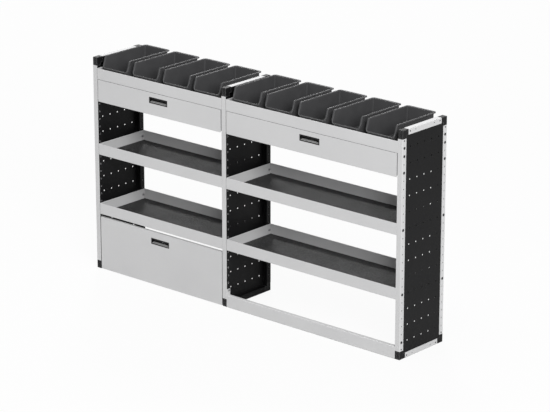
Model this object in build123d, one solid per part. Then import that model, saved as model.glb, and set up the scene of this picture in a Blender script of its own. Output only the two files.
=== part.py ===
"""Two-bay van racking unit, built the way the real one is put together.

Three upright frames (angle posts and rails joined by corner blocks, each round a perforated
pan-shaped side panel) carry folded steel trays and shelves on through-bolts. Open-fronted bins
stand in the top trays, a drawer runs under each top tray, a drop-down flap closes the foot of
the left bay and a folded rail ties the foot of the right bay.

Millimetres, +Z up, length along X, front towards -Y, origin at the bottom centre.
"""
from build123d import *
import os

os.makedirs("parts", exist_ok=True)

# Frame sizes
frame_width = 32.0          # face of one upright frame, along X
frame_depth = 375.0         # front face to rear face
frame_height = 1275.0       # floor to top of the frames
left_bay = 959.5            # clear width between the left and middle frames
right_bay = 1209.5          # clear width between the middle and right frames

# Angle posts and rails
angle_flange = 31.0         # depth of the side flange
angle_wall = 2.0
angle_bend = 3.0            # outer bend radius

# Hole pattern of the posts
first_hole = 97.5           # height of the lowest hole of the pattern
hole_pitch = 45.0
hole_radius = 3.5
hole_inset = 15.0           # from the front or rear face to the hole column

# Corner blocks
block_leg = 48.0            # length of each leg from the outer corner
block_edge = 3.0            # rounding of the outer corner
block_bevel = 2.0           # bevel of the long outer edges
block_slot_width = 9.0      # groove down the front and rear faces
block_slot_depth = 5.5
block_slot_margin = 5.0
spigot_length = 24.0        # part of the block that plugs into an angle
spigot_gap = 0.3

# Rivets that hold the angles on the spigots
rivet_setback = 10.0        # from the end of the post to its rivet
rail_rivet = 62.0           # from the front or rear face to the rail's rivet
rail_hole = 109.0           # from the front or rear face to the rail's spare hole
rail_hole_rise = 13.0       # from the rail's outer face to its holes
rivet_radius = 2.4
rivet_head = 4.2
rivet_dome = 1.3
rivet_depth = 9.0
rivet_hole_spare = 1.0      # what the hole runs on past the rivet

# Side panel
panel_wall = 1.5
panel_corner = 6.0          # radius of the pan's corners
panel_hole_radius = 4.0
panel_column_pitch = 60.0
panel_columns = 5

# Trays and shelves
tray_wall = 2.0
lip_height = 65.0
lip_above_bolt = 35.0
tray_corner = 3.0
hem_height = 8.0
upper_shelf_row = 14        # counted in holes from the lowest one
lower_shelf_row = 6         # counted in holes from the lowest one
strike_width = 24.0         # slot in the top tray's floor for the drawer's catch
strike_length = 9.0

# Rubber mats
mat_thickness = 3.0
mat_gap = 1.0
mat_corner = 4.0

# Through-bolts and nuts
bolt_radius = 3.0
bolt_head_radius = 7.0
bolt_head_height = 3.3
bolt_socket_radius = 2.0
bolt_socket_depth = 1.8
bolt_tail = 1.0             # thread left standing past the nut
nut_radius = 6.9
nut_height = 5.0

# Bottom rail of the right bay
foot_rail_height = 70.0
foot_rail_depth = 24.0
foot_tab_height = 106.0
foot_tab_depth = 28.0
foot_rail_row = 0           # counted in holes from the lowest one

# Drawers
front_side_gap = 5.0        # between a drawer front or the flap and the frame
front_top_gap = 1.5         # between a drawer front and the tray above
front_sheet = 2.0
drawer_front_height = 130.0
front_return = 13.0         # folded edge along the top and bottom of a drawer front
front_return_cut = 14.0     # length the folded edge stops short at each end
box_wall = 1.5
box_below = 6.0             # from the foot of the drawer front up to the box floor
box_height = 101.0
box_rear_gap = 24.0         # between the box and the rear face of the rack
runner_wall = 2.0
runner_rows_down = (3, 1)   # counted in holes below the top tray's bolts
runner_setback = 22.0       # from the front and rear faces to the runner's rails
runner_rail = 7.0           # depth of the runner's two rails
runner_rail_wall = 2.0
runner_plate_above = 13.0   # plate above its upper bolts
runner_plate_below = 15.0   # plate below its lower bolts
slide_height = 30.0
slide_width = 8.0
slide_gap = 0.3

# Flap
flap_height = 317.0
flap_foot_gap = 3.0
flap_return = 18.0
flap_pivot_back = 10.0      # pivot behind the flap's face
flap_pivot_rise = 19.0      # pivot above the floor, so that the foot of the flap clears it
pivot_radius = 4.0
pivot_fit = 0.05
pivot_in_block = 15.0
pivot_in_flap = 12.0

# Recessed handles
handle_width = 140.0
handle_height = 36.0
handle_fit = 0.2
drawer_handle_drop = 26.0   # from the top of the drawer front to the handle
flap_handle_drop = 38.0     # from the top of the flap to the handle
bezel_bar = 5.0
housing_wall = 2.5
housing_flange = 6.0
housing_flange_wall = 2.0
cavity_depth = 24.0
cavity_floor_rise = 8.0
paddle_gap = 0.5
paddle_pivot_back = 6.0
paddle_pivot_drop = 8.0     # below the top of the handle
paddle_barrel = 2.6
paddle_stub = 1.6
paddle_stub_length = 2.2
paddle_fit = 0.05
paddle_plate = 2.2
paddle_tip_back = 11.0
paddle_tip_drop = 15.0      # below the top of the handle
arm_width = 16.0
arm_wall = 4.0
arm_back = 17.0             # front of the upright arm, behind the face
arm_gap = 1.5
catch_gap = 0.5             # between the catch and what it would hold
flap_arm_rise = 9.0         # arm above the top of the flap's handle

# Locking rods of the flap
rod_row = 4                 # counted in holes from the lowest one
rod_radius = 3.0
rod_fit = 0.1
rod_round_start = 84.0      # from the handle's centre to the round part of the rod
rod_strip_start = 18.3
rod_strip_width = 8.0
rod_strip_wall = 3.0
rod_strip_overlap = 6.0
rod_bridge_place = 50.0
rod_bridge_length = 6.0
rod_bridge_wall = 2.5

# Open-fronted bins
left_bins = 4
right_bins = 5
bin_pitch = 235.0
bin_width = 200.0
bin_length = 360.0
bin_height = 136.0
bin_front_height = 72.0
bin_wall = 2.5
bin_rim_side = 9.0          # how far the rim stands out from the side walls
bin_rim_front = 3.0
bin_rim_rear = 13.5
bin_rim_height = 6.0        # of the rim's turned-down edge
bin_rim_wall = 2.0
bin_front_gap = 15.0        # between the front faces of the bins and of the rack
bin_draft = 6.0
bin_front_slope = 20.0
bin_corner = 6.0
rest_gap = 0.3

# Soft edges, as shares of what carries them
head_round_share = 2 / 3    # of the height of a bolt or rivet head
sheet_round_share = 3 / 4   # of the thickness of a folded sheet

overrun = 10.0              # how far cutters run past what they cut

# Places worked out from the sizes above
length = 3 * frame_width + left_bay + right_bay
half_length = length / 2
front = -frame_depth / 2
rear = frame_depth / 2
left_inner = -half_length + frame_width
middle_outer = left_inner + left_bay
middle_inner = middle_outer + frame_width
right_inner = middle_inner + right_bay
left_centre = (left_inner + middle_outer) / 2
right_centre = (middle_inner + right_inner) / 2
bays = {"left": (left_inner, middle_outer), "right": (middle_inner, right_inner)}
post_hole_count = round((frame_height - 2 * first_hole) / hole_pitch) + 1
panel_hole_rows = (post_hole_count + 1) // 2
top_tray_row = post_hole_count - 1
runner_rows = [top_tray_row - down for down in runner_rows_down]


def row_height(row):
    return first_hole + row * hole_pitch


def lip_top(row):
    return row_height(row) + lip_above_bolt


def lip_foot(row):
    return lip_top(row) - lip_height


drawer_top = lip_foot(top_tray_row) - front_top_gap
drawer_foot = drawer_top - drawer_front_height
flap_top = flap_foot_gap + flap_height
drawer_handle_foot = drawer_top - drawer_handle_drop - handle_height
flap_handle_foot = flap_top - flap_handle_drop - handle_height
slide_centre = (row_height(runner_rows[0]) + row_height(runner_rows[1])) / 2


def save(name, shape):
    export_step(shape, f"parts/{name}.step")


def slab(x0, x1, y0, y1, z0, z1):
    """A box between two opposite corners."""
    return Pos((x0 + x1) / 2, (y0 + y1) / 2, (z0 + z1) / 2) * Box(abs(x1 - x0), abs(y1 - y0), abs(z1 - z0))


def bar_x(x0, x1, y, z, radius):
    """A round bar along X."""
    return Pos((x0 + x1) / 2, y, z) * Rot(0, 90, 0) * Cylinder(radius, abs(x1 - x0))


def side_prism(points, x0, x1):
    """A side outline, given as (y, z) points, drawn out along X."""
    outline = make_face(Plane.YZ * Polyline(*points, close=True))
    return Pos(x0, 0, 0) * extrude(outline, x1 - x0, dir=(1, 0, 0))


def cut_at_folds(shape, tiles):
    """The walls of a folded sheet as solids of their own, which meet face to face at its folds."""
    return [shape & tile for tile in tiles]


def angle_bar(run):
    """An angle along Z: its face lies along X and its flange along Y."""
    profile = make_face(Polyline(
        (0, 0), (frame_width, 0), (frame_width, angle_wall), (angle_wall, angle_wall),
        (angle_wall, angle_flange), (0, angle_flange), close=True))
    bar = extrude(profile, run)
    upright = bar.edges().filter_by(Axis.Z)
    outer = upright.sort_by_distance((0, 0, run / 2))[0]
    bar = fillet(outer, angle_bend)
    inner = bar.edges().filter_by(Axis.Z).sort_by_distance((angle_wall, angle_wall, run / 2))[0]
    return fillet(inner, angle_bend - angle_wall)


# Each frame is built with its outer side at x = 0 and its inner side at x = frame_width
def post_rows():
    return [row_height(row) for row in range(post_hole_count)]


def front_post():
    run = frame_height - 2 * block_leg
    post = Pos(0, front, block_leg) * angle_bar(run)
    cuts = [bar_x(-overrun, angle_wall + overrun, front + hole_inset, z, hole_radius) for z in post_rows()]
    for z in (block_leg + rivet_setback, frame_height - block_leg - rivet_setback):
        cuts.append(bar_x(-overrun, angle_wall + overrun, front + hole_inset, z, rivet_radius))
    return post - cuts


def rear_post():
    return mirror(front_post(), Plane.XZ)


def bottom_rail():
    run = frame_depth - 2 * block_leg
    rail = Pos(0, run / 2, 0) * Rot(90, 0, 0) * angle_bar(run)
    cuts = []
    for side in (-1, 1):
        for inset, radius in ((rail_rivet, rivet_radius), (rail_hole, hole_radius)):
            cuts.append(bar_x(-overrun, angle_wall + overrun, side * (rear - inset), rail_hole_rise, radius))
    return rail - cuts


def top_rail():
    return Pos(0, 0, frame_height) * mirror(bottom_rail(), Plane.XY)


def spigot_inner():
    """How far a spigot reaches across the frame, clear of the panel's band."""
    return frame_width - panel_wall - spigot_gap


def corner_block():
    """The block of the front lower corner; the other three are mirrored from it."""
    corner = [(front, 0), (front + block_leg, 0), (front + block_leg, angle_flange),
              (front + angle_flange, angle_flange), (front + angle_flange, block_leg), (front, block_leg)]
    block = side_prism(corner, 0, frame_width)
    along = block.edges().filter_by(Axis.X).sort_by_distance((frame_width / 2, front, 0))[0]
    block = fillet(along, block_edge)
    outer = block.edges().filter_by(Axis.Z).sort_by(Axis.Y)
    outer = [edge for edge in outer if abs(edge.center().Y - front) < angle_wall]
    block = chamfer(outer, block_bevel)
    thick = angle_flange - spigot_gap
    start, end = block_leg - spigot_gap, block_leg + spigot_length
    inner = spigot_inner()
    post_spigot = slab(angle_wall, inner, front + angle_wall, front + thick, start, end)
    bend_inside = angle_bend - angle_wall
    seats = post_spigot.edges().filter_by(Axis.Z)
    post_spigot = fillet(seats.sort_by_distance((angle_wall, front + angle_wall, end))[0], bend_inside)
    rail_spigot = slab(angle_wall, inner, front + start, front + end, angle_wall, thick)
    seats = rail_spigot.edges().filter_by(Axis.Y)
    rail_spigot = fillet(seats.sort_by_distance((angle_wall, front + end, angle_wall))[0], bend_inside)
    slot = slab(frame_width / 2 - block_slot_width / 2, frame_width / 2 + block_slot_width / 2,
                front - overrun, front + block_slot_depth, block_slot_margin, block_leg - block_slot_margin)
    hole_end = rivet_depth + rivet_hole_spare
    holes = [bar_x(-overrun, hole_end, front + hole_inset, block_leg + rivet_setback, rivet_radius),
             bar_x(-overrun, hole_end, front + rail_rivet, rail_hole_rise, rivet_radius)]
    return block + post_spigot + rail_spigot - slot - holes


def four_corners(piece):
    """A front lower piece, repeated at the frame's other three corners."""
    rear_piece = mirror(piece, Plane.XZ)
    upper = [Pos(0, 0, frame_height) * mirror(shape, Plane.XY) for shape in (piece, rear_piece)]
    return [piece, rear_piece] + upper


def rivets():
    """The rivets of one frame: one in each post end and one in each rail end."""
    pieces = []
    for y, z in ((front + hole_inset, block_leg + rivet_setback), (front + rail_rivet, rail_hole_rise)):
        shank = bar_x(0, rivet_depth, y, z, rivet_radius)
        head = bar_x(-rivet_dome, 0, y, z, rivet_head)
        rim = head.edges().filter_by(GeomType.CIRCLE).sort_by(Axis.X)[0]
        pieces.append(fillet(rim, rivet_dome * head_round_share) + shank)
    return [copy for piece in pieces for copy in four_corners(piece)]


def side_panel():
    """A black pan: its web lies behind the outer flanges, its band covers the frame's inner side."""
    tub_depth = frame_depth - 2 * angle_flange
    tub_height = frame_height - 2 * angle_flange
    middle = Pos(0, 0, frame_height / 2)
    outline = RectangleRounded(tub_depth, tub_height, panel_corner)
    walls = 2 * panel_wall
    hollow = RectangleRounded(tub_depth - walls, tub_height - walls, panel_corner - panel_wall)
    outer = middle * extrude(Plane.YZ * outline, frame_width - angle_wall, dir=(1, 0, 0))
    inner = middle * extrude(Plane.YZ * hollow, frame_width, dir=(1, 0, 0))
    band = slab(frame_width - panel_wall, frame_width, front + angle_wall, rear - angle_wall,
                angle_wall, frame_height - angle_wall)
    notch = slab(0, frame_width + overrun, front, front + block_leg, 0, angle_flange)
    notch += slab(0, frame_width + overrun, front, front + angle_flange, 0, block_leg)
    pan = Pos(angle_wall, 0, 0) * outer + (band - four_corners(notch))
    pan -= Pos(angle_wall + panel_wall, 0, 0) * inner
    holes = []
    for column in range(panel_columns):
        y = (column - (panel_columns - 1) / 2) * panel_column_pitch
        for row in range(panel_hole_rows):
            holes.append(bar_x(0, frame_width / 2, y, row_height(2 * row), panel_hole_radius))
    for y in (front + hole_inset, rear - hole_inset):
        for z in post_rows():
            holes.append(bar_x(frame_width / 2, frame_width + overrun, y, z, hole_radius))
    web_inside = angle_wall + panel_wall
    band_back = frame_width - panel_wall
    side = angle_flange + panel_wall
    tiles = [slab(0, web_inside, front, rear, 0, frame_height)]
    for x0, x1 in ((web_inside, band_back), (band_back, frame_width)):
        for y0, y1 in ((front, front + side), (rear - side, rear)):
            tiles.append(slab(x0, x1, y0, y1, 0, frame_height))
        for z0, z1 in ((0, side), (frame_height - side, frame_height)):
            tiles.append(slab(x0, x1, front + side, rear - side, z0, z1))
    return cut_at_folds(pan - holes, tiles)


def place_left(shape):
    return Pos(-half_length, 0, 0) * shape


def place_middle(shape):
    return Pos(middle_outer, 0, 0) * shape


def place_right(shape):
    return mirror(Pos(-half_length, 0, 0) * shape, Plane.YZ)


places = {"left": place_left, "middle": place_middle, "right": place_right}


def build_frames():
    block = corner_block()
    angles = {"front_post": front_post(), "rear_post": rear_post(), "top_rail": top_rail(),
              "bottom_rail": bottom_rail()}
    panel = side_panel()
    all_rivets = []
    for side, place in places.items():
        for name, shape in angles.items():
            save(f"{side}_frame_{name}", place(shape))
        save(f"{side}_frame_side_panel", Compound(children=[place(wall) for wall in panel]))
        blocks = [place(shape) for shape in four_corners(block)]
        if side == "left":
            blocks[0] -= pivot_hole(left_inner - pivot_in_block, left_inner + overrun)
        if side == "middle":
            blocks[0] -= pivot_hole(middle_outer - overrun, middle_outer + pivot_in_block)
        save(f"{side}_frame_corner_blocks", Compound(children=blocks))
        all_rivets += [place(shape) for shape in rivets()]
    save("frame_rivets", Compound(children=all_rivets))


def pivot_hole(x0, x1):
    return bar_x(x0, x1, front + flap_pivot_back, flap_pivot_rise, pivot_radius)


# Trays and shelves
def bolt_holes_in_lips(x0, x1, z):
    cuts = []
    for y in (front + hole_inset, rear - hole_inset):
        for wall in (x0, x1):
            cuts.append(bar_x(wall - overrun, wall + overrun, y, z, hole_radius))
    return cuts


def tray(bay, row, strike):
    x0, x1 = bays[bay]
    foot, top = lip_foot(row), lip_top(row)
    body = slab(x0, x1, front, rear, foot, top)
    body = fillet(body.edges().filter_by(Axis.Z), tray_corner)
    body = fillet(body.faces().sort_by(Axis.Z)[0].edges(), tray_wall)
    hollow = slab(x0 + tray_wall, x1 - tray_wall, front + tray_wall, rear - tray_wall,
                  foot + tray_wall, top - hem_height)
    hem = 2 * tray_wall
    mouth = slab(x0 + hem, x1 - hem, front + hem, rear - hem, foot + hem, top + overrun)
    body -= [hollow, mouth] + bolt_holes_in_lips(x0, x1, row_height(row))
    if strike:
        centre = (x0 + x1) / 2
        y = front + arm_back - arm_gap
        body -= slab(centre - strike_width / 2, centre + strike_width / 2, y, y + strike_length,
                     foot - overrun, foot + tray_wall + overrun)
    floor = foot + tray_wall
    tiles = [slab(x0, x1, front, rear, foot, floor)]
    tiles += [slab(x0, x1, y, y + hem, floor, top) for y in (front, rear - hem)]
    tiles += [slab(x, x + hem, front + hem, rear - hem, floor, top) for x in (x0, x1 - hem)]
    return Compound(children=cut_at_folds(body, tiles))


def mat(bay, row):
    x0, x1 = bays[bay]
    inset = tray_wall + mat_gap
    z = lip_foot(row) + tray_wall
    sheet = slab(x0 + inset, x1 - inset, front + inset, rear - inset, z, z + mat_thickness)
    return fillet(sheet.edges().filter_by(Axis.Z), mat_corner)


def build_trays():
    for bay in bays:
        save(f"{bay}_top_tray", tray(bay, top_tray_row, True))
        save(f"{bay}_upper_shelf", tray(bay, upper_shelf_row, False))
        save(f"{bay}_lower_shelf", tray(bay, lower_shelf_row, False))
        save(f"{bay}_upper_mat", mat(bay, upper_shelf_row))
        save(f"{bay}_lower_mat", mat(bay, lower_shelf_row))


def foot_rail():
    x0, x1 = bays["right"]
    body = slab(x0, x1, front, front + foot_rail_depth, 0, foot_rail_height)
    long_edges = body.edges().filter_by(Axis.X).group_by(Axis.Y)[0]
    body = fillet(long_edges, tray_corner)
    body -= slab(x0 - overrun, x1 + overrun, front + tray_wall, front + foot_rail_depth + overrun,
                 tray_wall, foot_rail_height - tray_wall)
    for wall, inside in ((x0, x0 + tray_wall), (x1, x1 - tray_wall)):
        tab = slab(wall, inside, front + tray_wall, front + foot_tab_depth, 0, foot_tab_height)
        tab = fillet(tab.edges().filter_by(Axis.X).sort_by(Axis.Z)[-1], tray_corner)
        body += tab
    z = row_height(foot_rail_row)
    body -= [bar_x(wall - overrun, wall + overrun, front + hole_inset, z, hole_radius) for wall in (x0, x1)]
    return body


# Through-bolts
def bolt_rows():
    return [top_tray_row, runner_rows[1], runner_rows[0], upper_shelf_row, lower_shelf_row]


def bolt_and_nut(head_face, nut_face, y, z):
    """A button-headed bolt with its head against head_face and its nut against nut_face."""
    way = 1 if nut_face > head_face else -1
    end = nut_face + way * (nut_height + bolt_tail)
    head = bar_x(head_face - way * bolt_head_height, head_face, y, z, bolt_head_radius)
    rim = head.edges().filter_by(GeomType.CIRCLE).sort_by(Axis.X)[0 if way > 0 else -1]
    head = fillet(rim, bolt_head_height * head_round_share)
    crown = head_face - way * bolt_head_height
    socket = bar_x(crown - way * overrun, crown + way * bolt_socket_depth, y, z, bolt_socket_radius)
    bolt = head + bar_x(head_face, end, y, z, bolt_radius) - socket
    outline = extrude(Plane.YZ * RegularPolygon(nut_radius, 6), way * nut_height, dir=(1, 0, 0))
    bore = bar_x(nut_face - way * overrun, end + way * overrun, y, z, bolt_radius)
    nut = Pos(nut_face, y, z) * outline - bore
    return bolt, nut


def build_bolts():
    bolts, nuts = [], []
    spots = [(y, row_height(row)) for row in bolt_rows() for y in (front + hole_inset, rear - hole_inset)]
    rail_spot = (front + hole_inset, row_height(foot_rail_row))
    left_faces = (-half_length, left_inner + tray_wall)
    middle_faces = (middle_outer - tray_wall, middle_inner + tray_wall)
    right_faces = (half_length, right_inner - tray_wall)
    for y, z in spots:
        for head_face, nut_face in (left_faces, right_faces, middle_faces):
            bolt, nut = bolt_and_nut(head_face, nut_face, y, z)
            bolts.append(bolt)
            nuts.append(nut)
    for head_face, nut_face in ((middle_outer, middle_inner + tray_wall), right_faces):
        bolt, nut = bolt_and_nut(head_face, nut_face, *rail_spot)
        bolts.append(bolt)
        nuts.append(nut)
    save("frame_bolts", Compound(children=bolts))
    save("frame_nuts", Compound(children=nuts))


# Drawers
def runner(wall, inside):
    """A plate bolted to the frame, with two folded rails that carry the drawer's slide."""
    way = 1 if inside > wall else -1
    low = row_height(runner_rows[0]) - runner_plate_below
    high = row_height(runner_rows[1]) + runner_plate_above
    plate = slab(wall, inside, front + angle_wall, rear - angle_wall, low, high)
    half = slide_height / 2 + slide_gap
    for z in (slide_centre - half - runner_rail_wall, slide_centre + half):
        plate += slab(inside, inside + way * runner_rail, front + runner_setback, rear - runner_setback,
                      z, z + runner_rail_wall)
    cuts = []
    for row in runner_rows:
        for y in (front + hole_inset, rear - hole_inset):
            cuts.append(bar_x(wall - overrun, wall + overrun, y, row_height(row), hole_radius))
    return plate - cuts


def drawer_box_sides(bay):
    x0, x1 = bays[bay]
    inset = runner_wall + slide_gap + slide_width
    return x0 + inset, x1 - inset


def slide(side, way):
    """The moving bar of a slide, on one side of the box."""
    return slab(side, side - way * slide_width, front + runner_setback, rear - box_rear_gap,
                slide_centre - slide_height / 2, slide_centre + slide_height / 2)


def handle_hole(centre, foot, gap):
    half = handle_width / 2 + gap
    return slab(centre - half, centre + half, front - overrun, front + cavity_depth,
                foot - gap, foot + handle_height + gap)


def housing_hole(centre, foot, gap):
    """Room for the housing's body and flange behind a face sheet."""
    half = handle_width / 2 + housing_flange + gap
    return slab(centre - half, centre + half, front, front + cavity_depth,
                foot - housing_flange - gap, foot + handle_height + housing_flange + gap)


def drawer_box(bay):
    x0, x1 = drawer_box_sides(bay)
    foot = drawer_foot + box_below
    near, far = front + front_sheet, rear - box_rear_gap
    box = slab(x0, x1, near, far, foot, foot + box_height)
    box = fillet(box.edges().filter_by(Axis.Z), box_wall)
    floor, top = foot + box_wall, foot + box_height
    inside = (x0 + box_wall, x1 - box_wall, near + box_wall, far - box_wall)
    box -= slab(*inside, floor, top + overrun)
    centre = (x0 + x1) / 2
    box -= housing_hole(centre, drawer_handle_foot, handle_fit)
    half = handle_width / 2 + housing_flange + handle_fit
    notch_foot = drawer_handle_foot - housing_flange - handle_fit
    tiles = [slab(x0, x1, near, far, foot, floor), slab(x0, x1, inside[3], far, floor, top),
             slab(x0, centre - half, near, inside[2], floor, top),
             slab(centre - half, centre + half, near, inside[2], floor, notch_foot),
             slab(centre + half, x1, near, inside[2], floor, top)]
    tiles += [slab(x, x + box_wall, inside[2], inside[3], floor, top) for x in (x0, inside[1])]
    return Compound(children=cut_at_folds(box, tiles))


def drawer_front(bay):
    x0, x1 = bays[bay]
    x0, x1 = x0 + front_side_gap, x1 - front_side_gap
    face = slab(x0, x1, front, front + front_sheet, drawer_foot, drawer_top)
    back = front + front_return
    edges = slab(x0 + front_return_cut, x1 - front_return_cut, front, back, drawer_foot, drawer_top)
    edges -= slab(x0, x1, front - overrun, back + overrun,
                  drawer_foot + front_sheet, drawer_top - front_sheet)
    panel = face + edges
    rims = panel.edges().filter_by(Axis.X).group_by(Axis.Y)[0]
    panel = fillet(rims, front_sheet * sheet_round_share)
    return panel - handle_hole((x0 + x1) / 2, drawer_handle_foot, handle_fit)


def paddle_pivot(foot):
    return front + paddle_pivot_back, foot + handle_height - paddle_pivot_drop


def housing(centre, foot, guides):
    """The black cup of a recessed handle, let into a face sheet from behind."""
    half = handle_width / 2
    top = foot + handle_height
    sheet_back = front + front_sheet
    cup = slab(centre - half, centre + half, front, sheet_back, foot, top)
    cup = fillet(cup.edges().filter_by(Axis.Y), front_sheet)
    rim = half + housing_flange
    cup += slab(centre - rim, centre + rim, sheet_back, sheet_back + housing_flange_wall,
                foot - housing_flange, top + housing_flange)
    low = foot + bezel_bar
    high = top - bezel_bar
    inner = half - bezel_bar
    depth = front + cavity_depth
    outside = inner + housing_wall
    cup += slab(centre - outside, centre + outside, sheet_back, depth + housing_wall,
                low - housing_wall, high + housing_wall)
    floor = low + cavity_floor_rise
    mouth = [(front - overrun, low), (front, low), (depth, floor), (depth, high), (front - overrun, high)]
    cup -= side_prism(mouth, centre - inner, centre + inner)
    gap = arm_width / 2 + arm_gap
    slot_front = front + arm_back - arm_gap - arm_wall / 2
    cup -= slab(centre - gap, centre + gap, slot_front, depth + overrun, floor, top + overrun)
    y, z = paddle_pivot(foot)
    reach = inner + paddle_stub_length
    cup -= bar_x(centre - reach, centre + reach, y, z, paddle_stub + paddle_fit)
    if guides:
        strip_foot = high + housing_wall + slide_gap
        way_top = strip_foot + rod_strip_wall + slide_gap
        y = front + hole_inset
        half_way = rod_strip_width / 2 + slide_gap
        outer = half_way + rod_bridge_wall
        for way in (-1, 1):
            place = centre + way * rod_bridge_place
            bridge = slab(place, place + way * rod_bridge_length, y - outer, y + outer,
                          strip_foot - housing_wall, way_top + rod_bridge_wall)
            bridge -= slab(place - overrun, place + overrun, y - half_way, y + half_way,
                           strip_foot - slide_gap, way_top)
            cup += bridge
    return cup


def paddle(centre, foot, arm_top):
    """The latch lever: a plate behind the handle's upper edge, with an upright arm behind it."""
    y, z = paddle_pivot(foot)
    half = handle_width / 2 - bezel_bar - paddle_gap
    lever = bar_x(centre - half, centre + half, y, z, paddle_barrel)
    stub = half + paddle_stub_length
    lever += bar_x(centre - stub, centre + stub, y, z, paddle_stub)
    tip_y = front + paddle_tip_back
    tip_z = foot + handle_height - paddle_tip_drop
    skin = paddle_plate / 2
    plate = [(y - skin, z), (y + skin, z), (tip_y + skin, tip_z), (tip_y - skin, tip_z)]
    lever += side_prism(plate, centre - half, centre + half)
    near, far = front + arm_back, front + arm_back + arm_wall
    under, over = z - paddle_barrel + paddle_gap, z + paddle_barrel - paddle_gap
    bevel = arm_wall / 2
    arm = [(y, under), (far, under), (far, arm_top - bevel), (far - bevel, arm_top), (near, arm_top),
           (near, over), (y, over)]
    return lever + side_prism(arm, centre - arm_width / 2, centre + arm_width / 2)


def build_drawers():
    for bay, (x0, x1) in bays.items():
        centre = (x0 + x1) / 2
        fixed = [runner(x0, x0 + runner_wall), runner(x1, x1 - runner_wall)]
        side0, side1 = drawer_box_sides(bay)
        save(f"{bay}_drawer_runners", Compound(children=fixed))
        save(f"{bay}_drawer_slides", Compound(children=[slide(side0, 1), slide(side1, -1)]))
        save(f"{bay}_drawer_box", drawer_box(bay))
        save(f"{bay}_drawer_front", drawer_front(bay))
        save(f"{bay}_drawer_handle", housing(centre, drawer_handle_foot, False))
        save(f"{bay}_drawer_paddle", paddle(centre, drawer_handle_foot, lip_foot(top_tray_row) - catch_gap))


# Flap of the left bay
def flap_panel():
    x0, x1 = left_inner + front_side_gap, middle_outer - front_side_gap
    pan = slab(x0, x1, front, front + flap_return, flap_foot_gap, flap_top)
    pan = fillet(pan.edges().filter_by(Axis.Z).group_by(Axis.Y)[0], front_sheet * sheet_round_share)
    pan -= slab(x0 + front_sheet, x1 - front_sheet, front + front_sheet, front + flap_return + overrun,
                flap_foot_gap + front_sheet, flap_top - front_sheet)
    pan -= handle_hole(left_centre, flap_handle_foot, handle_fit)
    for side, way in ((x0, 1), (x1, -1)):
        pan -= bar_x(side - way * overrun, side + way * overrun, front + flap_pivot_back, flap_pivot_rise,
                     pivot_radius + pivot_fit)
        pan -= bar_x(side - way * overrun, side + way * overrun, front + hole_inset, row_height(rod_row),
                     rod_radius + rod_fit)
    return pan


def rod(way):
    """A locking rod: a flat strip over the handle, then a round rod to the flap's side."""
    y, z = front + hole_inset, row_height(rod_row)
    reach = left_bay / 2 - catch_gap
    strip_foot = flap_handle_foot + handle_height - bezel_bar + housing_wall + slide_gap
    strip_top = strip_foot + rod_strip_wall
    near, far = y - rod_strip_width / 2, y + rod_strip_width / 2
    joint = left_centre + way * rod_round_start
    end = joint + way * rod_strip_overlap
    strip = slab(left_centre + way * rod_strip_start, end, near, far, strip_foot, strip_top)
    strip += slab(joint, end, near, far, z - rod_radius, strip_top)
    return strip + bar_x(joint, left_centre + way * reach, y, z, rod_radius)


def pivot_pins():
    pins = []
    reach = front_side_gap + pivot_in_flap
    for wall, way in ((left_inner, 1), (middle_outer, -1)):
        pins.append(bar_x(wall - way * pivot_in_block, wall + way * reach, front + flap_pivot_back,
                          flap_pivot_rise, pivot_radius))
    return pins


def build_flap():
    save("flap_panel", flap_panel())
    save("flap_handle", housing(left_centre, flap_handle_foot, True))
    arm_top = flap_handle_foot + handle_height + flap_arm_rise
    save("flap_paddle", paddle(left_centre, flap_handle_foot, arm_top))
    save("flap_left_rod", rod(-1))
    save("flap_right_rod", rod(1))
    save("flap_pivot_pins", Compound(children=pivot_pins()))


# Bins
def cheek_band(near, far, top, lip, foot, depth):
    """Outline of a strip this deep along the opening's edge: up the low front, up the cheek, back along the top."""
    slope = near + bin_front_slope
    return [(near, foot), (near, lip), (slope, top), (far, top), (far, top - depth),
            (slope + 0.75 * depth, top - depth), (near + depth, lip - 0.14 * depth), (near + depth, foot)]


def storage_bin(centre):
    """A bin with a low front, sloping cheeks and a turned-down rim all round, open at the top and front."""
    z = lip_foot(top_tray_row) + tray_wall + rest_gap
    near = front + bin_front_gap + bin_rim_front
    far = front + bin_front_gap + bin_length - bin_rim_rear
    outer = bin_width / 2
    half = outer - bin_rim_side
    top, lip = z + bin_height - rest_gap, z + bin_front_height - rest_gap
    side = [(near + bin_draft, z), (far - bin_draft, z), (far, top), (near + bin_front_slope, top), (near, lip)]
    shell = side_prism(side, centre - half, centre + half)
    shell = fillet(shell.edges().filter_by(Axis.X).group_by(Axis.Z)[0], bin_corner / 2)
    hollow = side_prism([(near + bin_draft + bin_wall, z + bin_wall), (far - bin_draft - bin_wall, z + bin_wall),
                         (far - bin_wall, top + overrun), (near - overrun, top + overrun), (near - overrun, lip),
                         (near + bin_wall, lip)], centre - half + bin_wall, centre + half - bin_wall)
    shell -= hollow
    foot, under = lip - bin_rim_height, top - bin_rim_height
    shelf = cheek_band(near, far, top, lip, foot, bin_rim_wall)
    edge = cheek_band(near, far, top, lip, foot, bin_rim_height)
    for way in (-1, 1):
        wall, rim, skirt = (centre + way * x for x in (half, outer, outer - bin_rim_wall))
        shell += side_prism(shelf, min(wall, rim), max(wall, rim))
        shell += side_prism(edge, min(skirt, rim), max(skirt, rim))
    shell += slab(centre - outer, centre + outer, near - bin_rim_front, near + bin_wall / 2, foot, lip)
    shell += slab(centre - outer, centre + outer, far - bin_wall / 2, far + bin_rim_rear, top - bin_rim_wall, top)
    skirt = far + bin_rim_rear - bin_rim_wall
    shell += slab(centre - outer, centre + outer, skirt, far + bin_rim_rear, under, top)
    for way in (-1, 1):
        ends = sorted((centre + way * outer, centre + way * (outer - bin_rim_wall)))
        shell += slab(*ends, far - bin_wall / 2, far + bin_rim_rear, under, top)
    return shell


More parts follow.
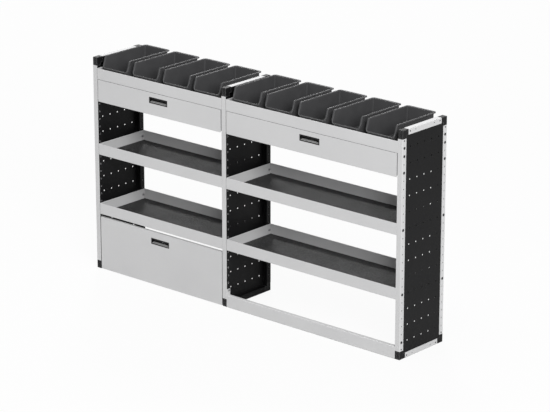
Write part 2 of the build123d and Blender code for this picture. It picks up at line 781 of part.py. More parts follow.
def build_bins():
    for bay, count in (("left", left_bins), ("right", right_bins)):
        x0, x1 = bays[bay]
        for place in range(count):
            centre = (x0 + x1) / 2 + (place - (count - 1) / 2) * bin_pitch
            save(f"{bay}_bin_{place + 1}", storage_bin(centre))


build_frames()
build_trays()
save("right_foot_rail", foot_rail())
build_bolts()
build_drawers()
build_flap()
build_bins()
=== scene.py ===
import bmesh
import bpy
from math import atan2, cos, pi, radians, sin
from mathutils import Matrix, Vector


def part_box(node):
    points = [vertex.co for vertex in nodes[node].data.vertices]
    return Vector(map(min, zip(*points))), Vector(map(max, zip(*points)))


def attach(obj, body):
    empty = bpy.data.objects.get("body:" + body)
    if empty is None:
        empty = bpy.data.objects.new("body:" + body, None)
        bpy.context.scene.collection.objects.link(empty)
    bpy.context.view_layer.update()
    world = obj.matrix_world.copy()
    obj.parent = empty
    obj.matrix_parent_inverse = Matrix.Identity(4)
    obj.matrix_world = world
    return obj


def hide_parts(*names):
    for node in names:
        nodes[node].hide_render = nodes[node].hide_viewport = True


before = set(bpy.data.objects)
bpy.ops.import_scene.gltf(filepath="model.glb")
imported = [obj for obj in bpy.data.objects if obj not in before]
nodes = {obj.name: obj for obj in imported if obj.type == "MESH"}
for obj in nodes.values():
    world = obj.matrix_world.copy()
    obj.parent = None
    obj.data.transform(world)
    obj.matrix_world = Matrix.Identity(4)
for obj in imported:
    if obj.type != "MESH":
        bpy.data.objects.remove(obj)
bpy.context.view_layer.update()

# Upright frames
# Each is four lengths of pale, powder-coated steel angle, two millimetres thick and bent to a tight
# radius. The posts carry a column of punched holes, and the rails close the frame at its ends.
sides = ("left", "middle", "right")
sheet_edge = 0.0004
soft_angle = radians(28)
weld_reach = 0.00001
flat_angle = radians(1)
flat_share = 100
pale_colour = (0.54, 0.54, 0.545)
pale_light = (0.65, 0.65, 0.65)
pale_roughness = 0.6
pale_specular = 0.3
# Painted highlight: the pale coat lightens along bends and edges this wide.
bend_highlight = 0.0016
# Painted shade: the pale coat darkens to this colour deep in seams and narrow gaps.
seam_shade_colour = (0.03, 0.03, 0.03)
seam_shade_reach = 0.008


class Wire:
    """An output in a material's nodes. An expression on wires adds its Math nodes."""

    def __init__(self, tree, socket):
        self.tree = tree
        self.socket = socket

    def node(self, kind, settings=None, inputs=None, output=0):
        """Adds any node: its settings first, then values or wires for its inputs."""
        made = self.tree.nodes.new(kind)
        for name, value in (settings or {}).items():
            setattr(made, name, value)
        for name, value in (inputs or {}).items():
            if isinstance(value, Wire):
                self.tree.links.new(value.socket, made.inputs[name])
            else:
                made.inputs[name].default_value = value
        return Wire(self.tree, made.outputs[output])

    def maths(self, operation, first, second):
        return self.node("ShaderNodeMath", {"operation": operation}, {0: first, 1: second})

    def __add__(self, other):
        return self.maths("ADD", self, other)

    def __mul__(self, other):
        return self.maths("MULTIPLY", self, other)

    def __rsub__(self, other):
        return self.maths("SUBTRACT", other, self)

    def noise(self, scale, detail=2.0):
        """Cloudy noise from 0 to 1, with this many features to a metre."""
        settings = {"Vector": self, "Scale": scale, "Detail": detail}
        return self.node("ShaderNodeTexNoise", None, settings)

    def ramp(self, low, high):
        """0 below low, 1 above high and a straight line between."""
        return self.node("ShaderNodeMapRange", None, {"Value": self, "From Min": low, "From Max": high})

    def tint(self, dark, light):
        """The first colour, or wire, where this is 0 and the second where it is 1."""
        colours = {0: self, 6: dark if isinstance(dark, Wire) else (*dark, 1.0), 7: (*light, 1.0)}
        return self.node("ShaderNodeMix", {"data_type": "RGBA"}, colours, 2)

    def edges(self, radius):
        """1 along sharp edges and 0 on the flat."""
        rounded = self.node("ShaderNodeBevel", {"samples": 6}, {"Radius": radius})
        true = self.node("ShaderNodeNewGeometry", None, None, 1)
        match = self.node("ShaderNodeVectorMath", {"operation": "DOT_PRODUCT"}, {0: rounded, 1: true}, 1)
        return (1.0 - match).ramp(0.005, 0.12)

    def seams(self, reach):
        """1 deep in gaps narrower than this and 0 in the open: the mask of painted shade in seams."""
        open_sky = self.node("ShaderNodeAmbientOcclusion", {"samples": 6}, {"Distance": reach}, 1)
        return (1.0 - open_sky).ramp(0.45, 0.8)

    def bump(self, depth, strength):
        """A normal for a surface that rises by this depth, in metres, where this is 1."""
        return self.node("ShaderNodeBump", None, {"Height": self, "Distance": depth, "Strength": strength})


def start_material(name, roughness, specular=0.5, metallic=0.0):
    """A new material, its shader and a wire with the place on the object, in metres."""
    material = bpy.data.materials.new(name)
    material.use_nodes = True
    tree = material.node_tree
    shader = tree.nodes["Principled BSDF"]
    shader.inputs["Roughness"].default_value = roughness
    shader.inputs["Specular IOR Level"].default_value = specular
    shader.inputs["Metallic"].default_value = metallic
    place = Wire(tree, tree.nodes.new("ShaderNodeTexCoord").outputs["Object"])
    return material, shader, place


def feed(shader, **wires):
    """Links wires to the shader's inputs, named in small letters with underscores."""
    for name, wire in wires.items():
        wire.tree.links.new(wire.socket, shader.inputs[name.replace("_", " ").title()])


def pale_coating():
    """Satin powder coat: faint orange peel and clouds, a painted highlight along bends and painted shade in
    seams.
    """
    material, shader, place = start_material("pale_coating", pale_roughness, pale_specular)
    cloud = place.noise(3.0, 3.0)
    speck = place.noise(260.0)
    shade = cloud * 0.55 + speck * 0.25 + place.edges(bend_highlight) * 0.25
    peel = place.noise(700.0) * 0.7 + place.noise(1900.0) * 0.3
    paint = shade.ramp(0.25, 1.15).tint(pale_colour, pale_light)
    # Painted shade in seams and gaps, and a painted highlight along bends.
    feed(shader, base_color=place.seams(seam_shade_reach).tint(paint, seam_shade_colour),
         roughness=cloud * 0.12 + (pale_roughness - 0.06), normal=peel.bump(0.00006, 0.35))
    return material


def coat(node, material):
    """Gives a CAD node its finish."""
    piece = nodes[node]
    piece.data.materials.clear()
    piece.data.materials.append(material)
    return piece


def dress(node, material, edge=sheet_edge):
    """Gives a CAD node its finish and soft edges. The mesh itself stays as it is."""
    piece = coat(node, material)
    weld = piece.modifiers.new("weld", "WELD")
    weld.merge_threshold = weld_reach
    flat = piece.modifiers.new("flat", "DECIMATE")
    flat.decimate_type = "DISSOLVE"
    flat.angle_limit = flat_angle
    soft = piece.modifiers.new("soft", "BEVEL")
    soft.width = edge
    soft.segments = 2
    soft.limit_method = "ANGLE"
    soft.angle_limit = soft_angle
    weighted = piece.modifiers.new("weighted", "WEIGHTED_NORMAL")
    weighted.weight = flat_share
    for face in piece.data.polygons:
        face.use_smooth = True


pale = pale_coating()
for side in sides:
    for bar in ("front_post", "rear_post", "top_rail", "bottom_rail"):
        dress(f"{side}_frame_{bar}", pale)

# Corner blocks
# Glass-filled black nylon mouldings that plug into the ends of the angles and are riveted there.
# Their corners are rounded, and a groove runs down the front and rear faces.
block_colour = (0.004, 0.004, 0.0045)
block_light = (0.14, 0.14, 0.143)
block_roughness = 0.55
block_specular = 0.3
block_edge = 0.0022
# Painted highlight along the blocks' edges, this wide.
block_edge_highlight = 0.0035


def black_moulding(name, highlight_width):
    """Moulded black plastic with a fine spark grain and a painted highlight along edges of this width."""
    material, shader, place = start_material(name, block_roughness, block_specular)
    grain = place.noise(1500.0)
    shade = place.noise(40.0) * 0.15 + place.edges(highlight_width) * 0.9
    feed(shader, base_color=shade.ramp(0.1, 1.1).tint(block_colour, block_light),
         roughness=grain * 0.15 + (block_roughness - 0.05), normal=grain.bump(0.00005, 0.3))
    return material


moulding = black_moulding("black_moulding", block_edge_highlight)
for side in sides:
    dress(f"{side}_frame_corner_blocks", moulding, block_edge)

# Rivets
# Black steel blind rivets with low domed heads, set through each end of every post and rail into
# the blocks.
rivet_edge = 0.0001
dress("frame_rivets", moulding, rivet_edge)

# Side panels
# Deep pans of black powder-coated steel sheet, folded to sit inside the frames, with a grid of
# punched holes for hooks. They are bolted to the frames through their inner flanges.
panel_colour = (0.005, 0.005, 0.0054)
panel_light = (0.016, 0.016, 0.017)
panel_roughness = 0.52
panel_specular = 0.2
# Painted highlight along the pans' punched edges and folds, this wide.
punched_edge_highlight = 0.0012


def black_coating():
    """Fine-textured black powder coat with faint scuffs and a painted highlight along its punched edges."""
    material, shader, place = start_material("black_coating", panel_roughness, panel_specular)
    cloud = place.noise(5.0, 4.0)
    grain = place.noise(1200.0)
    shade = cloud * 0.4 + place.edges(punched_edge_highlight) * 0.75
    feed(shader, base_color=shade.ramp(0.2, 1.2).tint(panel_colour, panel_light),
         roughness=cloud * 0.2 + (panel_roughness - 0.1), normal=grain.bump(0.00006, 0.4))
    return material


coating = black_coating()
for side in sides:
    coat(f"{side}_frame_side_panel", coating)

# Trays and shelves
# Shallow trays folded from two millimetre sheet and coated like the frames. Their lips have closed,
# rounded hems, their corners are welded and dressed, and they are bolted between the frames.
tray_wall = 0.002
tray_hem = 0.008
tray_corner = 0.003
least_corner = 0.0003
tray_inner_bend = 0.001
hem_round = 0.0019
hem_bevel = 0.0003
strike_width = 0.024
strike_length = 0.009
strike_back = 0.0155
corner_steps = 4
quarter_turn = [radians(angle) for angle in (0, 30, 60, 90)]
sharp_angle = radians(50)


def rounded_ring(x0, x1, y0, y1, z, radius):
    """A level rectangle with rounded corners, as points in turn from the left of the front side."""
    ring = []
    for turn, (x, y) in enumerate(((x1 - radius, y0 + radius), (x1 - radius, y1 - radius),
                                   (x0 + radius, y1 - radius), (x0 + radius, y0 + radius))):
        for step in range(corner_steps + 1):
            angle = (turn - 1 + step / corner_steps) * pi / 2
            ring.append((x + radius * cos(angle), y + radius * sin(angle), z))
    return ring


def skin(rings, first_cap=True, last_cap=True):
    """Points and faces of the surface through rings of equal count, with flat caps at its ends."""
    count = len(rings[0])
    points = [point for ring in rings for point in ring]
    faces = []
    for row in range(len(rings) - 1):
        for here in range(count):
            after = (here + 1) % count
            low, high = row * count, (row + 1) * count
            faces.append((low + here, low + after, high + after, high + here))
    if first_cap:
        faces.append(tuple(reversed(range(count))))
    if last_cap:
        faces.append(tuple((len(rings) - 1) * count + here for here in range(count)))
    return points, faces


def place_piece(name, mesh, material, body, *replaced):
    """Puts a finished mesh in the scene. It rides on its body and stands for the CAD nodes named."""
    shaped = bmesh.new()
    shaped.from_mesh(mesh)
    bmesh.ops.recalc_face_normals(shaped, faces=shaped.faces)
    shaped.to_mesh(mesh)
    shaped.free()
    mesh.materials.append(material)
    for face in mesh.polygons:
        face.use_smooth = True
    mesh.set_sharp_from_angle(angle=sharp_angle)
    piece = bpy.data.objects.new(name, mesh)
    bpy.context.scene.collection.objects.link(piece)
    weighted = piece.modifiers.new("weighted", "WEIGHTED_NORMAL")
    weighted.keep_sharp = True
    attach(piece, body)
    if replaced:
        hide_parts(*replaced)
    return piece


def tray_mesh(name, low, high, slotted):
    """A tray between two corners: up the outside, over the hem, down the inside and across."""
    x0, y0, z0 = low
    x1, y1, z1 = high
    rows = [(tray_wall * (1 - sin(a)), z0 + tray_wall * (1 - cos(a))) for a in quarter_turn]
    for step in range(7):
        angle = radians(30 * step)
        rows.append((hem_round * (1 - cos(angle)), z1 - hem_round * (1 - sin(angle))))
    wide = 2 * hem_round
    hem_foot = z1 - tray_hem
    rows += [(wide, hem_foot + hem_bevel), (wide - hem_bevel, hem_foot), (tray_wall, hem_foot)]
    floor = z0 + tray_wall
    bend = tray_inner_bend
    rows += [(tray_wall + bend * (1 - cos(a)), floor + bend * (1 - sin(a))) for a in quarter_turn]
    rings = []
    for inset, z in rows:
        radius = max(tray_corner - inset, least_corner)
        rings.append(rounded_ring(x0 + inset, x1 - inset, y0 + inset, y1 - inset, z, radius))
    points, faces = skin(rings, not slotted, not slotted)
    mesh = bpy.data.meshes.new(name)
    mesh.from_pydata(points, [], faces)
    if slotted:
        cut_strike_slot(mesh, (x0 + x1) / 2, y0 + strike_back, z0, floor)
    return mesh


def cut_strike_slot(mesh, centre, near, under, floor):
    """Fills both faces of a tray's floor round the slot that the drawer's catch rises into."""
    shape = bmesh.new()
    shape.from_mesh(mesh)
    open_edges = [edge for edge in shape.edges if edge.is_boundary]
    loops = []
    for z in (under, floor):
        corners = [shape.verts.new((centre + x * strike_width / 2, near + y * strike_length, z))
                   for x, y in ((-1, 0), (1, 0), (1, 1), (-1, 1))]
        loops.append(corners)
        rim = [shape.edges.new((corners[n], corners[(n + 1) % 4])) for n in range(4)]
        level = [edge for edge in open_edges if abs(edge.verts[0].co.z - z) < weld_reach]
        bmesh.ops.triangle_fill(shape, use_beauty=True, use_dissolve=False, edges=rim + level)
    for n in range(4):
        after = (n + 1) % 4
        shape.faces.new((loops[0][n], loops[0][after], loops[1][after], loops[1][n]))
    shape.to_mesh(mesh)
    shape.free()


for bay in ("left", "right"):
    for tray in ("top_tray", "upper_shelf", "lower_shelf"):
        node = f"{bay}_{tray}"
        mesh = tray_mesh(f"{node}_sheet", *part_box(node), tray == "top_tray")
        place_piece(f"{node}_sheet", mesh, pale, "rack", node)

# Foot rail
# One coated sheet folded to a shallow channel, which ties the feet of the right bay. The tab at each
# end is bolted to its post.
foot_rail_edge = 0.0006
dress("right_foot_rail", pale, foot_rail_edge)

# Mats
# Ribbed rubber matting cut to lie in the shelves, so that goods don't slide. The ribs run along it
# and carry a patchy bloom of dust.
mat_colour = (0.016, 0.016, 0.0165)
mat_light = (0.066, 0.066, 0.067)
mat_roughness = 0.68
mat_specular = 0.35
mat_rib_pitch = 0.005
mat_rib_height = 0.0011
rib_profile = ((0.0, 0.0), (0.12, 0.35), (0.25, 0.85), (0.4, 1.0), (0.6, 1.0), (0.75, 0.85), (0.88, 0.35))


def ribbed_rubber():
    """Matt black rubber with a dry, dusty bloom on its ribs."""
    material, shader, place = start_material("ribbed_rubber", mat_roughness, mat_specular)
    grain = place.noise(900.0)
    mottle = place.noise(110.0, 5.0)
    dust = place.noise(6.0, 4.0)
    shade = dust * 0.3 + mottle * 0.7
    feed(shader, base_color=shade.ramp(0.36, 0.68).tint(mat_colour, mat_light),
         roughness=mottle * 0.2 + (mat_roughness - 0.1), normal=grain.bump(0.0001, 0.5))
    return material


def mat_mesh(name, low, high):
    """A section of ribs, drawn out along the shelf."""
    x0, y0, z0 = low
    x1, y1, z1 = high
    count = round((y1 - y0) / mat_rib_pitch)
    pitch = (y1 - y0) / count
    valley = z1 - mat_rib_height
    section = []
    for rib in range(count):
        for along, up in rib_profile:
            section.append((y0 + (rib + along) * pitch, valley + up * mat_rib_height))
    section += [(y1, valley), (y1, z0), (y0, z0)]
    points, faces = skin([[(x, y, z) for y, z in section] for x in (x0, x1)])
    mesh = bpy.data.meshes.new(name)
    mesh.from_pydata(points, [], faces)
    return mesh


rubber = ribbed_rubber()
for bay in ("left", "right"):
    for mat in ("upper_mat", "lower_mat"):
        node = f"{bay}_{mat}"
        mesh = mat_mesh(f"{node}_ribs", *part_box(node))
        place_piece(f"{node}_ribs", mesh, rubber, "rack", node)

# Bolts
# Black button-headed bolts with hexagon sockets. One passes through each post and tray end, and on
# the middle frame one bolt holds both bays.
first_hole = 0.0975
hole_pitch = 0.045
bolt_rows = (24, 23, 21, 14, 6)
hole_columns = (-0.1725, 0.1725)
post_faces = {}
for side in sides:
    low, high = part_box(f"{side}_frame_front_post")
    post_faces[side] = (low.x, high.x)
round_steps = 24
head_rows = ((0.0, 0.0075), (0.0003, 0.0078), (0.0009, 0.0077), (0.0018, 0.007), (0.0026, 0.0056),
             (0.0031, 0.0041), (0.0033, 0.0031))
socket_radius = 0.0023
socket_depth = 0.0019
shank_radius = 0.003
shank_bevel = 0.0005
socket_bevel = 0.0002
nut_height = 0.005
bolt_tail = 0.001


def round_ring(x, way, y, z, radius, sided=False):
    """A ring round a bolt's axis, round or six-sided. Positive way looks along the rack."""
    ring = []
    for step in range(round_steps):
        angle = 2 * pi * step / round_steps
        reach = radius
        if sided:
            reach = radius * cos(pi / 6) / cos((angle % (pi / 3)) - pi / 6)
        ring.append((x, y + reach * cos(angle), z + way * reach * sin(angle)))
    return ring


def bolt_skin(head_face, nut_face, way, y, z):
    """A bolt from its tail to the bottom of its socket."""
    tail = nut_face + way * (nut_height + bolt_tail)
    rings = [round_ring(tail, way, y, z, shank_radius - shank_bevel),
             round_ring(tail - way * shank_bevel, way, y, z, shank_radius),
             round_ring(head_face, way, y, z, shank_radius)]
    rings += [round_ring(head_face - way * out, way, y, z, radius) for out, radius in head_rows]
    crown = head_face - way * head_rows[-1][0]
    rings.append(round_ring(crown, way, y, z, socket_radius + socket_bevel, True))
    for depth in (socket_bevel, socket_depth):
        rings.append(round_ring(crown + way * depth, way, y, z, socket_radius, True))
    return skin(rings)


def fastener_spots():
    """Where each bolt goes: head face, nut face, way, y and z. The last two hold the foot rail."""
    left, middle, right = (post_faces[side] for side in sides)
    runs = ((left[0], left[1] + tray_wall, 1), (middle[0] - tray_wall, middle[1] + tray_wall, 1),
            (right[1], right[0] - tray_wall, -1))
    spots = []
    for row in bolt_rows:
        for y in hole_columns:
            for run in runs:
                spots.append((*run, y, first_hole + row * hole_pitch))
    spots.append((middle[0], middle[1] + tray_wall, 1, hole_columns[0], first_hole))
    spots.append((*runs[2], hole_columns[0], first_hole))
    return spots


def joined_mesh(name, skins):
    """One mesh of several skins."""
    points, faces = [], []
    for more_points, more_faces in skins:
        base = len(points)
        points += more_points
        faces += [tuple(base + corner for corner in face) for face in more_faces]
    mesh = bpy.data.meshes.new(name)
    mesh.from_pydata(points, [], faces)
    return mesh


bolts = joined_mesh("button_bolts", [bolt_skin(*spot) for spot in fastener_spots()])
place_piece("button_bolts", bolts, moulding, "rack", "frame_bolts")

# Nuts
# Zinc-plated locking nuts inside the lips: a flanged foot, a bevelled hexagon and a round collar that
# holds a plastic ring.
nut_rows = ((0.0, 0.0031, False), (0.0, 0.0078, False), (0.0003, 0.0082, False), (0.0008, 0.0081, False),
            (0.0012, 0.007, False), (0.0014, 0.0067, True), (0.0034, 0.0067, True),
            (0.0038, 0.0057, False), (0.0039, 0.0051, False), (0.0047, 0.005, False),
            (0.005, 0.0046, False), (0.005, 0.0036, False), (0.0046, 0.00305, False))
zinc_colour = (0.36, 0.36, 0.37)
zinc_light = (0.62, 0.62, 0.63)
zinc_roughness = 0.45
zinc_metallic = 0.7
# Painted highlight along the zinc's edges, this wide.
zinc_edge_highlight = 0.001


def zinc_plate():
    """Bright zinc with a cloudy bloom, fine brushing and a painted highlight along its edges."""
    material, shader, place = start_material("zinc_plate", zinc_roughness, metallic=zinc_metallic)
    bloom = place.noise(60.0, 3.0)
    brushed = place.noise(900.0, 3.0)
    shade = bloom * 0.6 + brushed * 0.3 + place.edges(zinc_edge_highlight) * 0.4
    feed(shader, base_color=shade.ramp(0.2, 1.1).tint(zinc_colour, zinc_light),
         roughness=brushed * 0.2 + (zinc_roughness - 0.1), normal=brushed.bump(0.00003, 0.3))
    return material


def nut_skin(nut_face, way, y, z):
    """A nut from the edge of its bore, over its outside and back into the bore at its top."""
    rings = [round_ring(nut_face + way * out, way, y, z, radius, sided) for out, radius, sided in nut_rows]
    return skin(rings, False, False)


zinc = zinc_plate()
nuts = joined_mesh("locking_nuts", [nut_skin(*spot[1:]) for spot in fastener_spots()])
place_piece("locking_nuts", nuts, zinc, "rack", "frame_nuts")

# Eyelets
# Pressed zinc rings round the front column of holes in the inner flanges of the pans, where shelves
# can be bolted. The lowest holes, and those under bolts and the runners' plates, have none.
eyelet_rows = ((0.0, 0.0046), (0.0003, 0.0047), (0.0006, 0.0045), (0.0006, 0.0037), (0.0003, 0.0035),
               (0.0, 0.0035))
eyelet_faces = ((post_faces["left"][1], 1), (post_faces["middle"][0], -1), (post_faces["middle"][1], 1),
                (post_faces["right"][0], -1))
eyelet_holes = 25
covered_rows = (0, 22)
eyelets = []
for face, way in eyelet_faces:
    for hole in range(eyelet_holes):
        if hole not in bolt_rows and hole not in covered_rows:
            z = first_hole + hole * hole_pitch
            eyelets.append(skin([round_ring(face + way * out, way, hole_columns[0], z, radius)
                                 for out, radius in eyelet_rows], False, False))
place_piece("hole_eyelets", joined_mesh("hole_eyelets", eyelets), zinc, "rack")

# Drawer runners and slides
# Zinc-plated sheet: a plate with two folded rails bolted to each frame, and a rolled channel on each
# side of the drawer that runs between them.
slide_width = 0.008
slide_wall = 0.0014
slide_lip = 0.005
slide_bend = 0.0012
bend_corner = 0.3
for bay in ("left", "right"):
    dress(f"{bay}_drawer_runners", zinc)


def channel_skin(outer, inner, near, far, low, high):
    """A channel along the drawer, open towards the frame, with its edges rolled in."""
    way = 1 if outer > inner else -1
    web = inner + way * slide_wall
    bend = slide_bend
    nick = bend * bend_corner
    section = [(inner, low + bend), (inner + way * nick, low + nick), (inner + way * bend, low),
               (outer - way * bend, low), (outer - way * nick, low + nick), (outer, low + bend),
               (outer, low + slide_lip), (outer - way * slide_wall, low + slide_lip),
               (outer - way * slide_wall, low + slide_wall), (web, low + slide_wall)]
    upper = [(x, low + high - z) for x, z in reversed(section)]
    return skin([[(x, y, z) for x, z in section + upper] for y in (near, far)])


for bay in ("left", "right"):
    node = f"{bay}_drawer_slides"
    (x0, y0, z0), (x1, y1, z1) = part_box(node)
    channels = [channel_skin(outer, inner, y0, y1, z0, z1)
                for outer, inner in ((x0, x0 + slide_width), (x1, x1 - slide_width))]
    mesh = joined_mesh(f"{bay}_drawer_channels", channels)
    place_piece(f"{bay}_drawer_channels", mesh, zinc, f"{bay}_drawer", node)

# Drawers
# Each is a zinc-plated sheet box behind a coated front whose top and bottom edges are folded back.
# The front closes just under the tray.
front_edge = 0.0005
for bay in ("left", "right"):
    dress(f"{bay}_drawer_box", zinc)
    dress(f"{bay}_drawer_front", pale, front_edge)

# Flap
# A coated pan as high as the foot of the left bay, with a pin at each lower corner that turns in the
# corner blocks and two steel rods that lock it shut.
dress("flap_panel", pale, front_edge)
for rod in ("flap_left_rod", "flap_right_rod", "flap_pivot_pins"):
    dress(rod, zinc)

# Recessed handles
# Black moulded cups let into the drawer fronts and the flap, with a lever behind the upper edge.
# A satin grey finger plate lies on the sloping floor of each cup; its pale grey partly stands in for light
# falling on the cup's floor, as painted light.
handle_edge = 0.0007
# Painted highlight along the cups' edges, this wide.
handle_edge_highlight = 0.0006
handle_width = 0.14
bezel = 0.005
cup_rise = 0.008
finger_plate = 0.0008
finger_gap = 0.0008
finger_reach = 0.7
finger_setback = 0.001
finger_run = 0.021
finger_curve = 1.6
finger_steps = 8
# Painted light: the plate's grey partly stands in for light falling on the black cup's floor.
lit_floor_grey_dark = (0.24, 0.24, 0.24)
lit_floor_grey_pale = (0.36, 0.36, 0.36)
finger_roughness = 0.36
handle_flange = 0.006


def lit_cup_floor_grey():
    """Smooth grey moulding with finger smears, its pale grey partly painted light on the cup's floor."""
    material, shader, place = start_material("lit_cup_floor_grey", finger_roughness)
    smear = place.noise(90.0, 3.0)
    grain = place.noise(1400.0)
    feed(shader, base_color=(smear * 0.8 + grain * 0.2).ramp(0.25, 0.8).tint(lit_floor_grey_dark, lit_floor_grey_pale),
         roughness=smear * 0.25 + (finger_roughness - 0.12), normal=grain.bump(0.00004, 0.3))
    return material


def finger_plate_skin(centre, face, foot):
    """A thin plate that curves up from the lower bezel towards the back of the cup."""
    half = handle_width / 2 - bezel - finger_gap
    floor = foot + bezel + finger_gap
    upper = []
    for step in range(finger_steps + 1):
        along = finger_reach * step / finger_steps
        rise = cup_rise * along ** finger_curve
        upper.append((face + finger_setback + along * finger_run, floor + rise + finger_plate))
    lower = [(y, z - finger_plate) for y, z in reversed(upper)]
    section = upper + lower
    return skin([[(x, y, z) for y, z in section] for x in (centre - half, centre + half)])


grey = lit_cup_floor_grey()
cup = black_moulding("cup_moulding", handle_edge_highlight)
for holder in ("left_drawer", "right_drawer", "flap"):
    dress(f"{holder}_handle", cup, handle_edge)
    dress(f"{holder}_paddle", cup)
    (x0, y0, z0), (x1, y1, z1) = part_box(f"{holder}_handle")
    mesh = joined_mesh(f"{holder}_finger_plate", [finger_plate_skin((x0 + x1) / 2, y0, z0 + handle_flange)])
    place_piece(f"{holder}_finger_plate", mesh, grey, holder)

# Bins
# Open-fronted bins moulded in charcoal plastic: thin walls with draft and rounded corners, and a
# turned-over rim round the opening, down both cheeks and along the low front. They stand in the trays.
bin_counts = {"left": 4, "right": 5}
bin_half = 0.091
bin_near = -0.1695
bin_far = 0.174
bin_height = 0.1357
bin_front_height = 0.0717
bin_slope = 0.02
bin_draft = 0.965
bin_corner = 0.008
bin_top_round = 0.007
bin_wall = 0.0025
bin_base_round = 0.004
bin_inner_round = 0.003
cheek_steps = 5
corner_turns = [radians(18 * step) for step in range(6)]
side_flat = 0.06
end_flat = 0.05
rim_side = 0.009
rim_front = 0.003
rim_rear = 0.0135
rim_height = 0.006
rim_rows = ((0.0, -0.006), (0.0, -0.0024), (0.08, -0.002), (0.7, -0.002), (0.78, -0.0025), (0.78, -0.0057),
            (0.81, -0.006), (0.96, -0.006), (1.0, -0.0057), (1.0, -0.0018), (0.95, -0.0007), (0.84, 0.0),
            (0.25, 0.0), (0.08, -0.0002))
rim_inner_rows = ((-0.0007, -0.0008), (-0.0015, -0.0019), (-0.0021, -0.0033), (-0.0025, -0.005))
bin_colour = (0.056, 0.056, 0.058)
bin_light = (0.24, 0.24, 0.242)
bin_roughness = 0.58
bin_specular = 0.2
# Painted highlight along the bins' rims and corners, this wide.
bin_edge_highlight = 0.0025


def charcoal_moulding():
    """Charcoal plastic with a fine grain and a painted highlight along its rim and corners."""
    material, shader, place = start_material("charcoal_moulding", bin_roughness, bin_specular)
    grain = place.noise(1300.0)
    cloud = place.noise(14.0, 3.0)
    shade = cloud * 0.12 + place.edges(bin_edge_highlight)
    feed(shader, base_color=shade.ramp(0.05, 1.0).tint(bin_colour, bin_light),
         roughness=cloud * 0.15 + (bin_roughness - 0.07), normal=grain.bump(0.00005, 0.3))
    return material


def bin_columns():
    """Points of the opening's edge in turn, each with its height and the wall's outward normal."""
    rise = (bin_height - bin_front_height) / bin_slope
    turn = atan2(bin_height - bin_front_height, bin_slope)
    tangent = bin_top_round * (1 - cos(turn)) / sin(turn)
    arc_end = bin_near + bin_slope + tangent
    cheek = []
    for step in range(cheek_steps + 1):
        angle = turn * (1 - step / cheek_steps)
        cheek.append((arc_end - bin_top_round * sin(angle), bin_height - bin_top_round * (1 - cos(angle))))
    cheek += [(-side_flat, bin_height), (side_flat, bin_height)]
    centre_x = bin_half - bin_corner
    columns = []
    for angle in corner_turns:
        y = bin_near + bin_corner * (1 - cos(angle))
        z = min(bin_height, bin_front_height + (y - bin_near) * rise)
        columns.append((centre_x + bin_corner * sin(angle), y, z, sin(angle), -cos(angle)))
    columns += [(bin_half, y, z, 1.0, 0.0) for y, z in cheek]
    for angle in corner_turns:
        y = bin_far - bin_corner * (1 - sin(angle))
        columns.append((centre_x + bin_corner * cos(angle), y, bin_height, cos(angle), sin(angle)))
    back = [(x, bin_far, bin_height, 0.0, 1.0) for x in (end_flat, -end_flat)]
    left = [(-x, y, z, -nx, ny) for x, y, z, nx, ny in reversed(columns)]
    front = [(x, bin_near, bin_front_height, 0.0, -1.0) for x in (-end_flat, end_flat)]
    return columns + back + left + front


def bin_mesh():
    """The shell, one ring for each row of its section, standing at the origin."""
    columns = bin_columns()
    edge_ups = []
    for here, (x, y, z, nx, ny) in enumerate(columns):
        before, after = columns[here - 1], columns[(here + 1) % len(columns)]
        along = Vector((after[0] - before[0], after[1] - before[1], after[2] - before[2])).normalized()
        edge_ups.append(Vector((nx, ny, 0.0)).cross(along).normalized())

    def base_ring(inset, z):
        return [(x - nx * inset, y * bin_draft - ny * inset, z) for x, y, top, nx, ny in columns]

    def rim_ring(out, up):
        """A ring this far out, as a share of the rim's width, or in metres if it lies inside the edge."""
        ring = []
        for (x, y, z, nx, ny), edge_up in zip(columns, edge_ups):
            end = rim_front if ny < 0 else rim_rear
            wide = out if out < 0 else out * (rim_side * abs(nx) + end * abs(ny)) / (abs(nx) + abs(ny))
            point = Vector((x + nx * wide, y + ny * wide, z)) + edge_up * up
            ring.append(tuple(point))
        return ring

    rings = [base_ring(bin_base_round * (1 - sin(a)), bin_base_round * (1 - cos(a))) for a in quarter_turn]
    rings += [rim_ring(out, up) for out, up in rim_rows + rim_inner_rows]
    rings += [base_ring(bin_wall + bin_inner_round * (1 - cos(a)), bin_wall + bin_inner_round * (1 - sin(a)))
              for a in quarter_turn]
    mesh = bpy.data.meshes.new("storage_bin")
    points, faces = skin(rings)
    mesh.from_pydata(points, [], faces)
    return mesh


charcoal = charcoal_moulding()
for bay, count in bin_counts.items():
    for number in range(1, count + 1):
        node = f"{bay}_bin_{number}"
        low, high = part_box(node)
        mesh = bin_mesh()
        mesh.transform(Matrix.Translation(((low.x + high.x) / 2, 0.0, low.z)))
        place_piece(f"{node}_shell", mesh, charcoal, node, node)

# Studio floor
# A plain pale floor. The camera sees it lit almost to white, and it keeps a trace of the shadow.
floor_reach = 40.0
floor_colour = (0.6, 0.6, 0.6, 1.0)
floor_roughness = 0.9
floor_glow = (1.0, 1.0, 1.0, 1.0)
floor_glow_share = 0.93
corners = [(x * floor_reach, y * floor_reach, 0.0) for x, y in ((-1, -1), (1, -1), (1, 1), (-1, 1))]
floor_mesh = bpy.data.meshes.new("floor")
floor_mesh.from_pydata(corners, [], [(0, 1, 2, 3)])
floor = bpy.data.objects.new("floor", floor_mesh)
bpy.context.scene.collection.objects.link(floor)


def camera_sees(tree):
    """1 for what the camera sees directly and 0 for all other light."""
    return Wire(tree, tree.nodes.new("ShaderNodeLightPath").outputs["Is Camera Ray"])


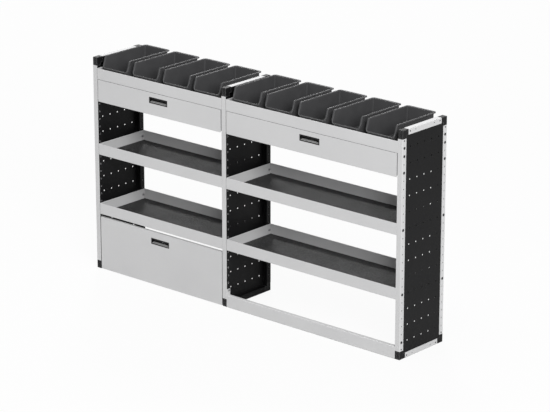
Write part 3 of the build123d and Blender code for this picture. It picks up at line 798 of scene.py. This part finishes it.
def pale_floor():
    """Matt paint, with a glow that only the camera sees."""
    material, shader, place = start_material("pale_floor", floor_roughness)
    shader.inputs["Base Color"].default_value = floor_colour
    tree = material.node_tree
    glow = place.node("ShaderNodeEmission", None, {"Color": floor_glow})
    painted = Wire(tree, shader.outputs[0])
    share = camera_sees(tree) * floor_glow_share
    mixed = place.node("ShaderNodeMixShader", None, {0: share, 1: painted, 2: glow})
    tree.links.new(mixed.socket, tree.nodes["Material Output"].inputs["Surface"])
    return material


floor_mesh.materials.append(pale_floor())

# Studio light
# A soft white surround and three box lamps: overhead, front right, and behind on the left, which
# throws the shadows of the rear lips and side panels on the mats.
surround_level = 0.42
surround_seen = 0.98
rack_middle = (0.0, 0.0, 0.65)
world = bpy.data.worlds.new("studio")
bpy.context.scene.world = world
world.use_nodes = True
tree = world.node_tree
strength = camera_sees(tree) * (surround_seen - surround_level) + surround_level
tree.links.new(strength.socket, tree.nodes["Background"].inputs["Strength"])
tree.nodes["Background"].inputs["Color"].default_value = (1.0, 1.0, 1.0, 1.0)


def softbox(name, place, width, height, power):
    """A rectangular lamp that faces the middle of the rack."""
    light = bpy.data.lights.new(name, "AREA")
    light.shape = "RECTANGLE"
    light.size = width
    light.size_y = height
    light.energy = power
    lamp = bpy.data.objects.new(name, light)
    lamp.location = place
    lamp.rotation_euler = (Vector(rack_middle) - Vector(place)).to_track_quat("-Z", "Y").to_euler()
    bpy.context.scene.collection.objects.link(lamp)


softbox("overhead_softbox", (0.4, -2.0, 8.4), 4.0, 3.0, 252.0)
softbox("right_softbox", (14.5, -10.1, 10.0), 7.5, 7.5, 3080.0)
softbox("back_softbox", (-9.2, 9.2, 9.75), 3.2, 3.2, 1040.0)

# Camera
# It looks down at the front and the right side, as in the photograph, through a long lens.
image_width = 550
focal_pixels = 2654.61
camera_place = (9.3231, -10.5402, 5.1857)
camera_down = radians(18.1398)
camera_turn = radians(41.2253)
lens = bpy.data.cameras.new("camera")
lens.sensor_width = 36.0
lens.lens = focal_pixels / image_width * lens.sensor_width
lens.clip_end = 200.0
camera = bpy.data.objects.new("camera", lens)
camera.location = camera_place
camera.rotation_euler = (pi / 2 - camera_down, 0.0, camera_turn)
bpy.context.scene.collection.objects.link(camera)
bpy.context.scene.camera = camera
bpy.context.scene.view_settings.view_transform = "Standard"
